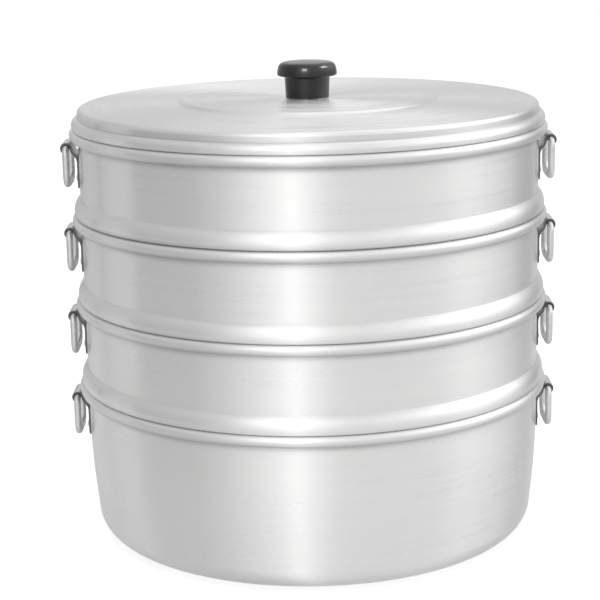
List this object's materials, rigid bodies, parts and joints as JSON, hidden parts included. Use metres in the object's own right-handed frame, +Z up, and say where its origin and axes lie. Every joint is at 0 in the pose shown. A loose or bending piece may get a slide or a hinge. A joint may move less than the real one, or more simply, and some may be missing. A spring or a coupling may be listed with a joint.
{
  "type": "dumpling steamer",
  "caption": "Stacked round aluminium steamer: a deep water pot, steaming tiers with perforated floors and a lid with a moulded knob, each vessel lifted by swinging drop handles.",
  "frame": {"origin": "centre of the underside of the base pot, on the surface it stands on", "axes": "+Z up the middle of the stack, +X towards the right-hand handles, -Y towards the viewer of the picture"},
  "size_m": [0.32, 0.308, 0.3074],
  "materials": {
    "spun_aluminium": "satin, fine turning marks round the axis",
    "bracket_strap": "satin strip",
    "handle_rod": "bright drawn rod",
    "steel_hardware": "plain zinc plated",
    "black_moulding": "glossy moulded"
  },
  "bodies": {
    "base_pot": {"base_pot": "spun_aluminium", "base_pot_left_bracket": "bracket_strap", "base_pot_right_bracket": "bracket_strap"},
    "lower_tier": {"lower_tier": "spun_aluminium", "lower_tier_left_bracket": "bracket_strap", "lower_tier_right_bracket": "bracket_strap"},
    "middle_tier": {"middle_tier": "spun_aluminium", "middle_tier_left_bracket": "bracket_strap", "middle_tier_right_bracket": "bracket_strap"},
    "upper_tier": {"upper_tier": "spun_aluminium", "upper_tier_left_bracket": "bracket_strap", "upper_tier_right_bracket": "bracket_strap"},
    "lid": {"lid": "spun_aluminium", "knob": "black_moulding", "knob_screw": "steel_hardware"},
    "base_pot_left_handle": {"base_pot_left_handle": "handle_rod"},
    "base_pot_right_handle": {"base_pot_right_handle": "handle_rod"},
    "lower_tier_left_handle": {"lower_tier_left_handle": "handle_rod"},
    "lower_tier_right_handle": {"lower_tier_right_handle": "handle_rod"},
    "middle_tier_left_handle": {"middle_tier_left_handle": "handle_rod"},
    "middle_tier_right_handle": {"middle_tier_right_handle": "handle_rod"},
    "upper_tier_left_handle": {"upper_tier_left_handle": "handle_rod"},
    "upper_tier_right_handle": {"upper_tier_right_handle": "handle_rod"}
  },
  "joints": [
    {"name": "lower_tier_lift", "type": "slide", "parent": "base_pot", "child": "lower_tier", "axis": [0, 0, 1], "range_m": [0, 0.08]},
    {"name": "middle_tier_lift", "type": "slide", "parent": "lower_tier", "child": "middle_tier", "axis": [0, 0, 1], "range_m": [0, 0.08]},
    {"name": "upper_tier_lift", "type": "slide", "parent": "middle_tier", "child": "upper_tier", "axis": [0, 0, 1], "range_m": [0, 0.08]},
    {"name": "lid_lift", "type": "slide", "parent": "upper_tier", "child": "lid", "axis": [0, 0, 1], "range_m": [0, 0.1]},
    {"name": "base_pot_left_handle_swing", "type": "hinge", "parent": "base_pot", "child": "base_pot_left_handle", "pos_m": [-0.1561, 0, 0.0884], "axis": [0, 1, 0], "range_deg": [-9, 180]},
    {"name": "base_pot_right_handle_swing", "type": "hinge", "parent": "base_pot", "child": "base_pot_right_handle", "pos_m": [0.1561, 0, 0.0884], "axis": [0, -1, 0], "range_deg": [-9, 180]},
    {"name": "lower_tier_left_handle_swing", "type": "hinge", "parent": "lower_tier", "child": "lower_tier_left_handle", "pos_m": [-0.1561, 0, 0.1438], "axis": [0, 1, 0], "range_deg": [-9, 180]},
    {"name": "lower_tier_right_handle_swing", "type": "hinge", "parent": "lower_tier", "child": "lower_tier_right_handle", "pos_m": [0.1561, 0, 0.1438], "axis": [0, -1, 0], "range_deg": [-9, 180]},
    {"name": "middle_tier_left_handle_swing", "type": "hinge", "parent": "middle_tier", "child": "middle_tier_left_handle", "pos_m": [-0.1561, 0, 0.1992], "axis": [0, 1, 0], "range_deg": [-9, 180]},
    {"name": "middle_tier_right_handle_swing", "type": "hinge", "parent": "middle_tier", "child": "middle_tier_right_handle", "pos_m": [0.1561, 0, 0.1992], "axis": [0, -1, 0], "range_deg": [-9, 180]},
    {"name": "upper_tier_left_handle_swing", "type": "hinge", "parent": "upper_tier", "child": "upper_tier_left_handle", "pos_m": [-0.1561, 0, 0.2546], "axis": [0, 1, 0], "range_deg": [-9, 180]},
    {"name": "upper_tier_right_handle_swing", "type": "hinge", "parent": "upper_tier", "child": "upper_tier_right_handle", "pos_m": [0.1561, 0, 0.2546], "axis": [0, -1, 0], "range_deg": [-9, 180]}
  ]
}
